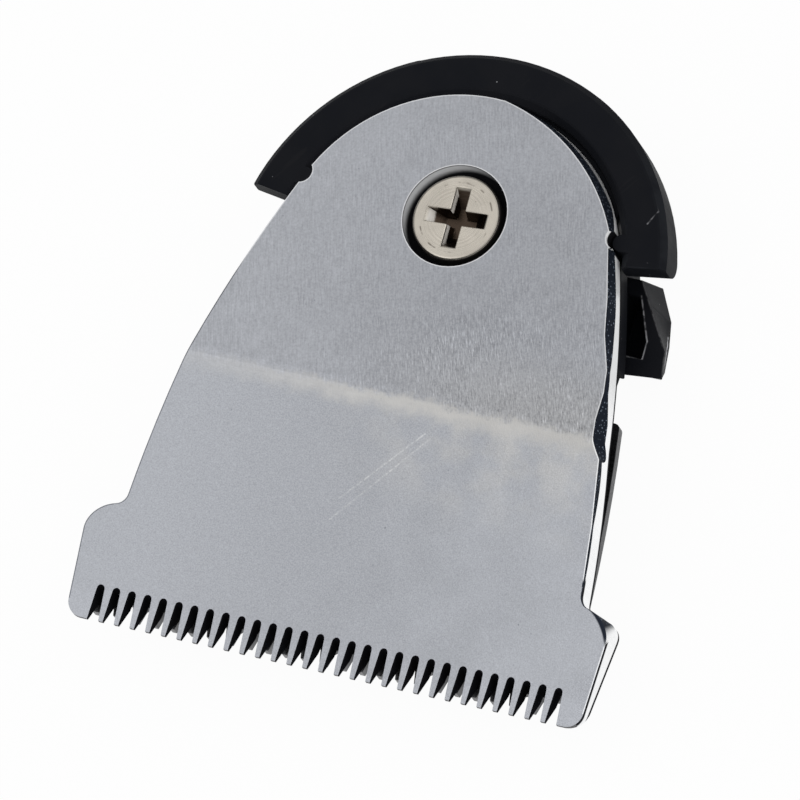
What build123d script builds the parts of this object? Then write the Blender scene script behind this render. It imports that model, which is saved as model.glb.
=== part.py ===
from build123d import *
import os
from math import cos, radians, sin, sqrt, tan

# Clip-on blade set of a hair trimmer, in millimetres.
# It is drawn from the bend line of the fixed blade: X across the teeth, Y towards the
# screw end, Z out of the front face, which is at zero. The finished pieces are then moved
# so that the origin is below the middle of the part, on the plane that the holder rests on.

# Fixed blade: a punched steel sheet, bent once across its width
SHEET = 1.8
CROWN_RADIUS = 10.0
CROWN_Y = 8.45
SHOULDER_ANGLE = 20.2
BEND_ANGLE = 10.4
BEND_RADIUS = 6.0
BEND_HALF = 12.72
NECK_HALF = 13.95
NECK_DROP = 8.92
NECK_FILLET = 0.75
EAR_HALF = 16.08
EAR_DROP = 9.33
EAR_TIP_HALF = 15.72
EAR_FILLET = 0.7
EAR_TIP_FILLET = 0.95
NOTCH_RADIUS = 0.7
NOTCH_DEPTH = 0.33

# Tooth row of the fixed blade
GAP_COUNT = 30
GAP_PITCH = 0.968
TIP_DROP = 15.6
TIP_THICKNESS = 0.82
TIP_BEVEL = 0.6
TIP_BEVEL_LENGTH = 1.2
GAP_LENGTH = 2.02
GAP_ROOT_WIDTH = 0.48
GAP_MOUTH_WIDTH = 0.7
ROOT_FLATS = 6

# Torn edge that punching left on the right of the front face.
# Each row of the side is a height, how far the face is pulled in there, and how deep.
TORN_SIDE = [
    (11.2, 0.25, 0.5),
    (8.3, 0.29, 0.8),
    (6.2, 0.37, 0.62),
    (4.2, 0.11, 0.3),
    (2.9, 0.18, 0.28),
    (1.3, 0.5, 0.78),
    (0.2, 0.54, 0.72),
    (-0.9, 0.05, 0.45),
    (-4.5, 0.04, 0.18),
    (-7.9, 0.04, 0.12),
]
TORN_CROWN = 0.43
TORN_CROWN_DEPTH = 1.6
TORN_CROWN_RADIUS = 12.6
TORN_CROWN_ANGLE = 51.0
TORN_EAR_RADIUS = 1.9
TORN_EAR_DEPTH = 1.1

# Moving blade, flat against the ground back of the fixed teeth
RUN_GAP = 0.03
CUTTER_SHEET = 0.65
CUTTER_TOP = 2.45
CUTTER_TOP_HALF = 12.36
CUTTER_MID_HALF = 13.46
CUTTER_MID_DROP = 4.06
CUTTER_ROW_HALF = 14.2
CUTTER_FLARE_DROP = 11.2
CUTTER_CORNER = 0.35
CUTTER_PITCH = 1.158
CUTTER_PLACES = 25
CUTTER_TEETH = 24
CUTTER_SETBACK = 0.73
CUTTER_GAP_LENGTH = 0.92
CUTTER_ROOT_WIDTH = 0.54
CUTTER_MOUTH_WIDTH = 0.84
CUTTER_REST = -0.4
STROKE = 2.4

# Screw, and its seat in the steel
SCREW_INSET = 7.27
SEAT_RADIUS = 3.06
HEAD_RADIUS = 2.57
HEAD_SINK = 0.25
HEAD_HEIGHT = 0.95
HEAD_BEVEL = 0.12
SHANK_RADIUS = 1.4
SHANK_LENGTH = 4.6
SHANK_TIP = 0.5
SHANK_GAP = 0.2
CROSS_SPAN = 3.1
CROSS_FLOOR = 1.55
CROSS_WIDTH = 0.75
CROSS_DEPTH = 1.15
CROSS_TAPER = 0.25
CROSS_TURN = 3.6

# Holder: rim, seat plate and rear walls
DEPTH = 7.2
RIM_RADIUS = 12.92
RIM_GAP = 0.3
RIM_DROP = 0.76
RIM_END = 2.05
RIM_END_RISE = 8.5
RIM_END_ROUND = 1.3
RIM_EDGE = 0.4
LEDGE_HALF = 8.6
NUB_GAP = 0.18
PLATE_THICKNESS = 1.4
PLATE_END = 4.9
WALL = 1.3
BOSS_RADIUS = 3.8
PILOT_GAP = 0.03
PILOT_EXTRA = 0.4

# Holder: snap lugs, each with a pocket that lets its outer wall spring.
# The corners are for the right-hand lug, from its top to its foot: its catch in front, its lead-in
# behind and the mouth of its pocket.
LUG_CATCH = [(10.32, 11.1), (11.21, 9.82), (12.11, 8.54), (12.99, 7.28), (13.35, 5.68)]
LUG_CATCH_LOW = 5.2
LUG_LEAD = [(10.46, 11.88), (11.58, 10.03), (11.95, 8.55), (12.17, 7.04), (12.1, 6.6)]
LUG_LEAD_LOW = 6.6
LUG_DROP = 0.9
POCKET = [(10.52, 10.14), (11.69, 7.62), (11.74, 6.6)]
POCKET_DEPTH = 2.4

# Holder: cheeks beside the bridge and the ribbed bar that guides it
CHEEK_GAP = 0.4
CHEEK_DROP = 7.6
CHEEK_CLEAR = 0.5
CHEEK_BEVEL = 0.8
BAR_WIDTH = 2.6
COLLAR_GAP = 0.4
RIB_OFFSET = 1.0
RIB_WIDTH = 0.7
RIB_HEIGHT = 0.8
RIB_GAP = 0.08
BAR_GAP = 0.12

# Drive bridge, staked to the back of the moving blade
BRIDGE_HALF = 6.8
BRIDGE_THICKNESS = 1.5
BRIDGE_LOW = 3.2
BRIDGE_LIP = 0.9
BRIDGE_CORNER = 0.8
SLOT_WIDTH = 2.6
SLOT_LENGTH = 3.2
SLOT_WALL = 0.8
SLOT_FLOOR = 0.5
SLOT_RISE = 1.0
STAKE_RADIUS = 1.0
STAKE_X = 4.6
STAKE_DROP = 0.6
STAKE_GAP = 0.04
STAKE_HEAD = 0.5
STAKE_HEAD_RADIUS = 1.5
STAKE_HEAD_BEVEL = 0.3

# Blade spring: a wire hairpin round the screw boss
WIRE = 0.7
WIRE_FLATS = 8
WIRE_GAP = 0.03
WIRE_REACH = 2.2
WIRE_TIP_RADIUS = 2.0
WIRE_TIP_TURN = 20.0

# Levels and places that follow from the sizes above
SLOPE = tan(radians(BEND_ANGLE))
CUT_PLANE = -(TIP_DROP * SLOPE + TIP_THICKNESS)
CUTTER_FRONT = CUT_PLANE - RUN_GAP
CUTTER_BACK = CUTTER_FRONT - CUTTER_SHEET
BRIDGE_BACK = CUTTER_BACK - BRIDGE_THICKNESS
PLATE_BACK = -SHEET - PLATE_THICKNESS
REST = -DEPTH
BAR_FRONT = BRIDGE_BACK - BAR_GAP
BAR_LOW = SLOT_LENGTH + 2 * SLOT_WALL - BRIDGE_LOW + COLLAR_GAP
RIB_LOW = BAR_LOW + RIB_OFFSET
BRIDGE_TOP = RIB_LOW + RIB_WIDTH + RIB_GAP + BRIDGE_LIP
SCREW_Y = CROWN_Y + CROWN_RADIUS - SCREW_INSET
SEAT_FLOOR = -HEAD_SINK - HEAD_HEIGHT
CHEEK_INNER = BRIDGE_HALF + STROKE / 2 + CHEEK_GAP
CHEEK_OUTER = CHEEK_INNER + WALL
WIRE_Z = BRIDGE_BACK - WIRE_GAP - WIRE / 2
WIRE_X = BOSS_RADIUS + WIRE_GAP + WIRE / 2
SHOULDER = (
    CROWN_RADIUS * cos(radians(SHOULDER_ANGLE)),
    CROWN_Y + CROWN_RADIUS * sin(radians(SHOULDER_ANGLE)),
)
NOTCH = (SHOULDER[0] + NOTCH_RADIUS - NOTCH_DEPTH, SHOULDER[1])
MIDDLE_Y = (CROWN_Y + RIM_RADIUS - TIP_DROP) / 2

# How far a cutting shape reaches past what it cuts
MARGIN = 1.0
OVER = 0.3


def corner(face, x, y):
    """The corner of a flat face that lies nearest to a point."""
    return face.vertices().sort_by_distance((x, y, 0))[0]


def between(sketch, low, high):
    """A flat outline made solid between two levels."""
    return Pos(0, 0, low) * extrude(sketch, high - low)


def both_sides(shape):
    """A right-hand shape together with its mirror image."""
    return shape + mirror(shape, about=Plane.YZ)


def block(x_low, x_high, y_low, y_high, z_low, z_high):
    """A box given by its limits."""
    size = Box(x_high - x_low, y_high - y_low, z_high - z_low)
    return Pos((x_low + x_high) / 2, (y_low + y_high) / 2, (z_low + z_high) / 2) * size


def disc(radius, x, y, low, high):
    """An upright cylinder at a place, between two levels."""
    return Pos(x, y, (low + high) / 2) * Cylinder(radius, high - low)


def side_arc():
    """The right-hand side line of the fixed blade, from its neck to its shoulder."""
    return ThreePointArc((NECK_HALF, -NECK_DROP), (BEND_HALF, 0), SHOULDER)


def side_x(y):
    """Half-width of the fixed blade at a height, on the circle of its side line."""
    arc = side_arc()
    centre = arc.arc_center
    return centre.X + sqrt(arc.radius**2 - (y - centre.Y) ** 2)


def front_z(y):
    """Level of the front face at a height above or below the bend line."""
    return min(0.0, y * SLOPE)


def blade_outline():
    """Plan of the fixed blade, without its teeth and notches."""
    top = (0, CROWN_Y + CROWN_RADIUS)
    crown_angle = radians((90 + SHOULDER_ANGLE) / 2)
    crown_mid = (CROWN_RADIUS * cos(crown_angle), CROWN_Y + CROWN_RADIUS * sin(crown_angle))
    edge = Polyline(
        top,
        (0, -TIP_DROP),
        (EAR_TIP_HALF, -TIP_DROP),
        (EAR_HALF, -EAR_DROP),
        (NECK_HALF, -NECK_DROP),
    )
    half = make_face(edge + side_arc() + ThreePointArc(SHOULDER, crown_mid, top))
    half = fillet(corner(half, NECK_HALF, -NECK_DROP), NECK_FILLET)
    half = fillet(corner(half, EAR_HALF, -EAR_DROP), EAR_FILLET)
    return both_sides(fillet(corner(half, EAR_TIP_HALF, -TIP_DROP), EAR_TIP_FILLET))


def tooth_gap(root_y, mouth_y, root_width, mouth_width):
    """Plan of the gap between two teeth: rounded by flats at its root, wider at its mouth."""
    radius = root_width / 2
    start = root_y - radius
    grow = (mouth_width - root_width) / (start - mouth_y)
    reach = mouth_width / 2 + grow * MARGIN / 2
    turns = [radians(180 * i / ROOT_FLATS) for i in range(ROOT_FLATS + 1)]
    root = [(radius * cos(turn), start + radius * sin(turn)) for turn in turns]
    return make_face(Polyline(*root, (-reach, mouth_y - MARGIN), (reach, mouth_y - MARGIN), close=True))


def blade_profile():
    """Side view of the fixed blade: bent sheet whose toothed end is ground flat behind."""
    top = CROWN_Y + CROWN_RADIUS + MARGIN
    end = -TIP_DROP - MARGIN
    back_bend = SHEET * tan(radians(BEND_ANGLE / 2))
    ground = (CUT_PLANE + SHEET / cos(radians(BEND_ANGLE))) / SLOPE
    side = make_face(
        Polyline(
            (top, 0),
            (0, 0),
            (end, end * SLOPE),
            (end, CUT_PLANE),
            (ground, CUT_PLANE),
            (back_bend, -SHEET),
            (top, -SHEET),
            close=True,
        )
    )
    side = fillet(corner(side, 0, 0), BEND_RADIUS)
    return fillet(corner(side, back_bend, -SHEET), BEND_RADIUS - SHEET)


def tip_bevel():
    """Wedge taken off the back of the tooth tips."""
    rise = TIP_BEVEL / TIP_BEVEL_LENGTH
    start = TIP_BEVEL_LENGTH - TIP_DROP
    wedge = make_face(
        Polyline(
            (start + OVER / rise, CUT_PLANE - OVER),
            (-TIP_DROP - OVER, CUT_PLANE + TIP_BEVEL + OVER * rise),
            (-TIP_DROP - OVER, CUT_PLANE - OVER),
            close=True,
        )
    )
    return extrude(Plane.YZ * wedge, EAR_HALF + MARGIN, both=True)


def torn_section(y, pull, depth):
    """Triangle across the side edge that the torn edge takes away at one height."""
    x = side_x(y)
    z = front_z(y)
    lean = pull / depth
    section = make_face(
        Polyline(
            (x - pull - lean * OVER, z + OVER),
            (x + OVER, z + OVER),
            (x + OVER, z - depth - OVER / lean),
            close=True,
        )
    )
    return Pos(0, y, 0) * Rot(90, 0, 0) * section


def torn_crown():
    """Torn edge of the crown: a wide cone that pulls the face in most at one angle."""
    lean = TORN_CROWN / TORN_CROWN_DEPTH
    reach = TORN_CROWN_RADIUS + TORN_CROWN + OVER
    ring = make_face(
        Polyline(
            (TORN_CROWN_RADIUS - lean * OVER, OVER),
            (reach, OVER),
            (reach, -TORN_CROWN_DEPTH - OVER / lean),
            close=True,
        )
    )
    shift = TORN_CROWN_RADIUS - CROWN_RADIUS + TORN_CROWN
    x = shift * cos(radians(TORN_CROWN_ANGLE))
    y = CROWN_Y - shift * sin(radians(TORN_CROWN_ANGLE))
    cone = Pos(-x, y, 0) * revolve(Rot(90, 0, 0) * ring, Axis.Z)
    return cone & block(0, reach, SHOULDER[1], CROWN_Y + reach, -SHEET, MARGIN)


def ear_waste(radius, level):
    """What rounding the top corner of the right-hand ear takes off, as a flat face."""
    tip = (EAR_HALF, -EAR_DROP)
    ear = make_face(Polyline((NECK_HALF, -NECK_DROP), tip, (EAR_TIP_HALF, -TIP_DROP), close=True))
    return Pos(0, 0, level) * (ear - fillet(corner(ear, *tip), radius))


def torn_ears():
    """Torn edge of the ears: the face is rounded more at their top corners than the wall is."""
    level = front_z(-EAR_DROP)
    grow = (TORN_EAR_RADIUS - EAR_FILLET) / TORN_EAR_DEPTH
    wall = ear_waste(EAR_FILLET, level - TORN_EAR_DEPTH)
    face = ear_waste(TORN_EAR_RADIUS + grow * OVER, level + OVER)
    return both_sides(loft([wall, face], ruled=True))


def torn_side():
    """Torn edge down the right-hand side."""
    return loft([torn_section(*row) for row in TORN_SIDE], ruled=True)


def fixed_blade():
    """Bent and toothed comb blade with its screw seat and side notches."""
    plan = between(blade_outline(), CUT_PLANE - MARGIN, MARGIN)
    sheet = extrude(Plane.YZ * blade_profile(), EAR_HALF + MARGIN, both=True) - tip_bevel()
    gap = tooth_gap(GAP_LENGTH - TIP_DROP, -TIP_DROP, GAP_ROOT_WIDTH, GAP_MOUTH_WIDTH)
    row = [Pos(GAP_PITCH * (i - (GAP_COUNT - 1) / 2), 0) * gap for i in range(GAP_COUNT)]
    gaps = between(Sketch() + row, CUT_PLANE - MARGIN, 0)
    notch = both_sides(disc(NOTCH_RADIUS, *NOTCH, -SHEET - MARGIN, MARGIN))
    seat = disc(SEAT_RADIUS, 0, SCREW_Y, SEAT_FLOOR, MARGIN)
    hole = disc(SHANK_RADIUS + SHANK_GAP, 0, SCREW_Y, -SHEET - MARGIN, MARGIN)
    return (plan & sheet) - gaps - notch - seat - hole - torn_side() - torn_crown() - torn_ears()


def moving_blade():
    """Flat cutter plate: flared sides, a coarser row of teeth and two stake holes."""
    tip = CUTTER_SETBACK - TIP_DROP
    top = (CUTTER_TOP_HALF, CUTTER_TOP)
    flare = (CUTTER_ROW_HALF, -CUTTER_FLARE_DROP)
    edge = Polyline(top, (0, CUTTER_TOP), (0, tip), (CUTTER_ROW_HALF, tip), flare)
    half = make_face(edge + ThreePointArc(flare, (CUTTER_MID_HALF, -CUTTER_MID_DROP), top))
    half = fillet(corner(half, *top), CUTTER_CORNER)
    first = -CUTTER_PITCH * (CUTTER_PLACES - 1) / 2
    root = tip + CUTTER_GAP_LENGTH
    gap = tooth_gap(root, tip, CUTTER_ROOT_WIDTH, CUTTER_MOUTH_WIDTH)
    row = [Pos(first + CUTTER_PITCH * (i + 0.5), 0) * gap for i in range(CUTTER_TEETH)]
    empty = first + CUTTER_PITCH * (CUTTER_TEETH - 0.5)
    end = block(empty, CUTTER_ROW_HALF + MARGIN, tip - MARGIN, root, CUTTER_BACK, CUTTER_FRONT)
    plate = between(both_sides(half) - row, CUTTER_BACK, CUTTER_FRONT) - end
    stake = STAKE_RADIUS + STAKE_GAP
    holes = both_sides(disc(stake, STAKE_X, -STAKE_DROP, CUTTER_BACK - MARGIN, CUTTER_FRONT + MARGIN))
    return Pos(CUTTER_REST, 0, 0) * (plate - holes)


def drive_bridge():
    """Follower plate with its guide groove, drive-pin slot and two staked studs."""
    plan = Pos(0, (BRIDGE_TOP - BRIDGE_LOW) / 2) * RectangleRounded(
        2 * BRIDGE_HALF, BRIDGE_TOP + BRIDGE_LOW, BRIDGE_CORNER
    )
    plate = between(plan, BRIDGE_BACK, CUTTER_BACK)
    rib_top = RIB_LOW + RIB_WIDTH
    reach = BRIDGE_HALF + MARGIN
    groove = block(
        -reach,
        reach,
        RIB_LOW - RIB_GAP,
        rib_top + RIB_GAP,
        BRIDGE_BACK - MARGIN,
        BAR_FRONT + RIB_HEIGHT + RIB_GAP,
    )
    slot_y = SLOT_LENGTH / 2 + SLOT_WALL - BRIDGE_LOW
    rim = RectangleRounded(SLOT_WIDTH + 2 * SLOT_WALL, SLOT_LENGTH + 2 * SLOT_WALL, SLOT_WALL)
    collar = between(Pos(0, slot_y) * rim, BRIDGE_BACK - SLOT_RISE, CUTTER_BACK)
    mouth = Pos(0, slot_y) * SlotOverall(SLOT_LENGTH, SLOT_WIDTH, rotation=90)
    slot = between(mouth, BRIDGE_BACK - SLOT_RISE - MARGIN, CUTTER_BACK - SLOT_FLOOR)
    stud = disc(STAKE_RADIUS, STAKE_X, -STAKE_DROP, CUTTER_BACK, CUTTER_FRONT)
    head = disc(STAKE_HEAD_RADIUS, STAKE_X, -STAKE_DROP, CUTTER_FRONT, CUTTER_FRONT + STAKE_HEAD)
    head = chamfer(head.edges().group_by(Axis.Z)[-1], STAKE_HEAD_BEVEL)
    body = plate - groove + collar - slot + both_sides(stud + head)
    return Pos(CUTTER_REST, 0, 0) * body


def rim():
    """Arc of the holder round the crown of the steel, with the nubs that fill its notches."""
    inner = CROWN_RADIUS + RIM_GAP
    section = make_face(
        Polyline(
            (inner, PLATE_BACK),
            (RIM_RADIUS, PLATE_BACK),
            (RIM_RADIUS, -RIM_DROP - RIM_EDGE),
            (RIM_RADIUS - RIM_EDGE, -RIM_DROP),
            (inner + RIM_EDGE, -RIM_DROP),
            (inner, -RIM_DROP - RIM_EDGE),
            close=True,
        )
    )
    ring = Pos(0, CROWN_Y) * revolve(Rot(90, 0, 0) * section, Axis.Z)
    end = CROWN_Y + RIM_END
    reach = RIM_RADIUS + MARGIN
    rise = (reach - CROWN_RADIUS) * tan(radians(RIM_END_RISE))
    top = CROWN_Y + reach
    keep = make_face(
        Polyline(
            (0, top),
            (0, end),
            (CROWN_RADIUS, end),
            (reach, end + rise),
            (reach, top),
            close=True,
        )
    )
    arc = ring & between(both_sides(keep), PLATE_BACK, -RIM_DROP)
    arc = fillet(arc.edges().group_by(Axis.Z)[0].filter_by(GeomType.LINE), RIM_END_ROUND)
    nub_radius = NOTCH_RADIUS - NUB_GAP
    bridge = NOTCH[0] + RIM_GAP + MARGIN
    nub = disc(nub_radius, *NOTCH, PLATE_BACK, -RIM_DROP)
    nub += block(NOTCH[0], bridge, NOTCH[1] - nub_radius, NOTCH[1] + nub_radius, PLATE_BACK, -RIM_DROP)
    return arc + both_sides(nub)


def lug():
    """Right-hand snap lug: a catch facing forward, a tapered lead-in and a spring pocket."""
    front = PLATE_BACK - LUG_DROP
    outlines = []
    for level, outer, low in ((REST, LUG_LEAD, LUG_LEAD_LOW), (front, LUG_CATCH, LUG_CATCH_LOW)):
        root = [(CHEEK_INNER, low), (CHEEK_INNER, outer[0][1])]
        outlines.append(Pos(0, 0, level) * make_face(Polyline(*root, *outer, close=True)))
    mouth = [(CHEEK_OUTER, POCKET[-1][1]), (CHEEK_OUTER, POCKET[0][1])]
    inside = make_face(Polyline(*mouth, *POCKET, close=True))
    pocket = between(inside, front - POCKET_DEPTH, front + MARGIN)
    return loft(outlines, ruled=True) - pocket


def rear_walls():
    """Rear wall of the holder: a half ring over the boss that runs down into two cheeks."""
    outer = Pos(0, CROWN_Y) * (Circle(CHEEK_OUTER) - Circle(CHEEK_INNER))
    upper = Pos(0, CROWN_Y + RIM_RADIUS) * Rectangle(2 * RIM_RADIUS, 2 * RIM_RADIUS)
    ring = between(outer & upper, REST, PLATE_BACK)
    root = CUTTER_TOP + CHEEK_GAP
    leg = block(CHEEK_INNER, CHEEK_OUTER, root, CROWN_Y, REST, PLATE_BACK)
    foot = block(CHEEK_INNER, CHEEK_OUTER, -CHEEK_DROP, root, REST, CUTTER_BACK - CHEEK_CLEAR)
    foot = chamfer(foot.edges().group_by(Axis.Y)[0].sort_by(Axis.Z)[-1], CHEEK_BEVEL)
    return ring + both_sides(leg + foot)


def holder():
    """Moulded carrier: seat plate, rim, rear walls, screw boss, guide bar and snap lugs."""
    low = Pos(0, PLATE_END + RIM_RADIUS) * Rectangle(2 * RIM_RADIUS, 2 * RIM_RADIUS)
    notches = both_sides(Pos(*NOTCH) * Circle(NOTCH_RADIUS - NUB_GAP))
    middle = Pos(0, CROWN_Y + RIM_RADIUS / 2) * Rectangle(2 * LEDGE_HALF, RIM_RADIUS)
    ledge = Pos(0, CROWN_Y) * Circle(CROWN_RADIUS + RIM_GAP + MARGIN) & middle
    seat = (blade_outline() & low) + notches + ledge
    tongue = Pos(0, (BAR_LOW + PLATE_END) / 2) * Rectangle(2 * CHEEK_OUTER, PLATE_END - BAR_LOW)
    plate = between(seat + tongue, PLATE_BACK, -SHEET)
    boss = disc(BOSS_RADIUS, 0, SCREW_Y, REST, PLATE_BACK)
    lip = disc(BOSS_RADIUS + WIRE, 0, SCREW_Y, REST, WIRE_Z - WIRE / 2 - WIRE_GAP)
    bar_top = BAR_LOW + BAR_WIDTH
    bar = block(-CHEEK_INNER, CHEEK_INNER, BAR_LOW, bar_top, REST, BAR_FRONT)
    bar += block(-CHEEK_INNER, CHEEK_INNER, RIB_LOW, RIB_LOW + RIB_WIDTH, BAR_FRONT, BAR_FRONT + RIB_HEIGHT)
    groove = WIRE / 2 + WIRE_GAP
    passage = block(
        WIRE_X - groove,
        WIRE_X + groove,
        BAR_LOW - MARGIN,
        bar_top + MARGIN,
        WIRE_Z - groove,
        BAR_FRONT + RIB_HEIGHT + MARGIN,
    )
    pilot_end = SEAT_FLOOR - SHANK_LENGTH - PILOT_EXTRA
    pilot = disc(SHANK_RADIUS + PILOT_GAP, 0, SCREW_Y, pilot_end, MARGIN)
    body = plate + rim() + rear_walls() + boss + lip + (bar - both_sides(passage)) + both_sides(lug())
    return body - pilot


def screw():
    """Cross-recessed screw with a flat head and a plain shank."""
    head = disc(HEAD_RADIUS, 0, SCREW_Y, SEAT_FLOOR, -HEAD_SINK)
    head = chamfer(head.edges().group_by(Axis.Z)[-1], HEAD_BEVEL)
    shank_end = SEAT_FLOOR - SHANK_LENGTH
    shank = disc(SHANK_RADIUS, 0, SCREW_Y, shank_end, SEAT_FLOOR)
    shank = chamfer(shank.edges().group_by(Axis.Z)[0], SHANK_TIP)
    top = Pos(0, 0, CROSS_DEPTH) * Rectangle(CROSS_SPAN, CROSS_WIDTH)
    floor = Rectangle(CROSS_FLOOR, CROSS_WIDTH - CROSS_TAPER)
    arm = loft([floor, top], ruled=True)
    cross = Rot(0, 0, CROSS_TURN) * (arm + Rot(0, 0, 90) * arm)
    return head + shank - Pos(0, SCREW_Y, -HEAD_SINK - CROSS_DEPTH) * cross


def blade_spring():
    """Wire hairpin: a half turn round the boss and two arms whose tips curl off the bridge."""
    section = RegularPolygon(WIRE / 2, WIRE_FLATS, major_radius=False)
    section = Rot(0, 0, 180 / WIRE_FLATS) * section
    start = Pos(WIRE_X, SCREW_Y, WIRE_Z) * Rot(90, 0, 0) * section
    bow = revolve(start, Axis((0, SCREW_Y, 0), (0, 0, 1)), 180)
    arm = extrude(start, SCREW_Y + WIRE_REACH, dir=(0, -1, 0))
    end = Pos(0, -WIRE_REACH - SCREW_Y, 0) * start
    curl = Axis((0, -WIRE_REACH, WIRE_Z - WIRE_TIP_RADIUS), (1, 0, 0))
    return bow + both_sides(arm + revolve(end, curl, WIRE_TIP_TURN))


PIECES = {
    "fixed_blade": fixed_blade,
    "moving_blade": moving_blade,
    "drive_bridge": drive_bridge,
    "blade_spring": blade_spring,
    "holder": holder,
    "screw": screw,
}

os.makedirs("parts", exist_ok=True)
for name, make in PIECES.items():
    piece = Pos(0, -MIDDLE_Y, DEPTH) * make()
    export_step(piece, f"parts/{name}.step")
    print(name, "solids", len(piece.solids()), "volume", round(piece.volume, 2))
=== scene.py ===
"""Looks of a clip-on hair trimmer blade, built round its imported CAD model.

The cutter, the black holder, the drive bridge and the screw are the CAD solids with their sharp edges
broken. The steel comb blade is the CAD solid with a narrow border cut along its front face, and the wire
spring is swept anew as a round wire. Lengths are in millimetres in the row frame until they reach a mesh,
which is in metres.
"""

import logging
import math
from dataclasses import dataclass, field
from enum import Enum, IntEnum
from itertools import combinations
from typing import Union

import bmesh
import bpy
import numpy as np
from mathutils import Matrix, Vector


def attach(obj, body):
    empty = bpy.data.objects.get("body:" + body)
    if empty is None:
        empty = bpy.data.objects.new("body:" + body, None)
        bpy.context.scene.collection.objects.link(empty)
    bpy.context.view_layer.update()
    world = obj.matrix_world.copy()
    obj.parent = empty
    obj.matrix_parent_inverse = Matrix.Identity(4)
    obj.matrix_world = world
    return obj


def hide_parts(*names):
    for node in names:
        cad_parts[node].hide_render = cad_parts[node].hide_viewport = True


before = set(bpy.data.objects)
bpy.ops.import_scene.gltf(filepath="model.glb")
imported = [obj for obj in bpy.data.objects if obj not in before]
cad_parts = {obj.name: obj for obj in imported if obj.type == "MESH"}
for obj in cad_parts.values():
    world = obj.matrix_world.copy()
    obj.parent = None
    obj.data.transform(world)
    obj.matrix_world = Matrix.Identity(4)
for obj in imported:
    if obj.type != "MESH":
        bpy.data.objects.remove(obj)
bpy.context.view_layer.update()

log = logging.getLogger("trimmer_blade")

MM = 0.001
# The front face is level at FRONT_Z above BEND_Y and falls with SLOPE below it.
BEND_Y = -2.885
SLOPE = math.tan(math.radians(10.4))
FRONT_Z = 7.2
# The toothed end is ground flat behind, on the plane where the cutter slides.
BACK_Z = 3.517
SCREW_Y = 8.295
HEAD_TOP = 6.95
CROSSWISE = math.radians(90)
# Nearly all of a noise lies between these two levels.
NOISE_BAND = (0.3, 0.7)
ZONE = "zone"
BORDER = "border"

Colour = tuple[float, float, float]
Point = tuple[float, float, float]
Span = tuple[float, float]
Socket = bpy.types.NodeSocket
Axes = tuple[Socket, Socket, Socket]
Value = Union[Socket, float, tuple]
Inputs = dict[Union[str, int], Value]


class Body(Enum):
    """The CAD bodies that pieces ride on."""

    CARRIER = "carrier"
    CUTTER = "cutter"


class Zone(IntEnum):
    """What made each surface of the punched comb blade."""

    FACE = 0
    EDGE = 1
    TORN = 2
    WALL = 3
    GAP = 4
    SEAT = 5
    BACK = 6
    ROLL = 7
    TIP = 8


class Front(IntEnum):
    """Parts of the comb blade's front face; all other faces have nought."""

    RIM = 1
    INNER = 2


# ---- shader helpers


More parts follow.
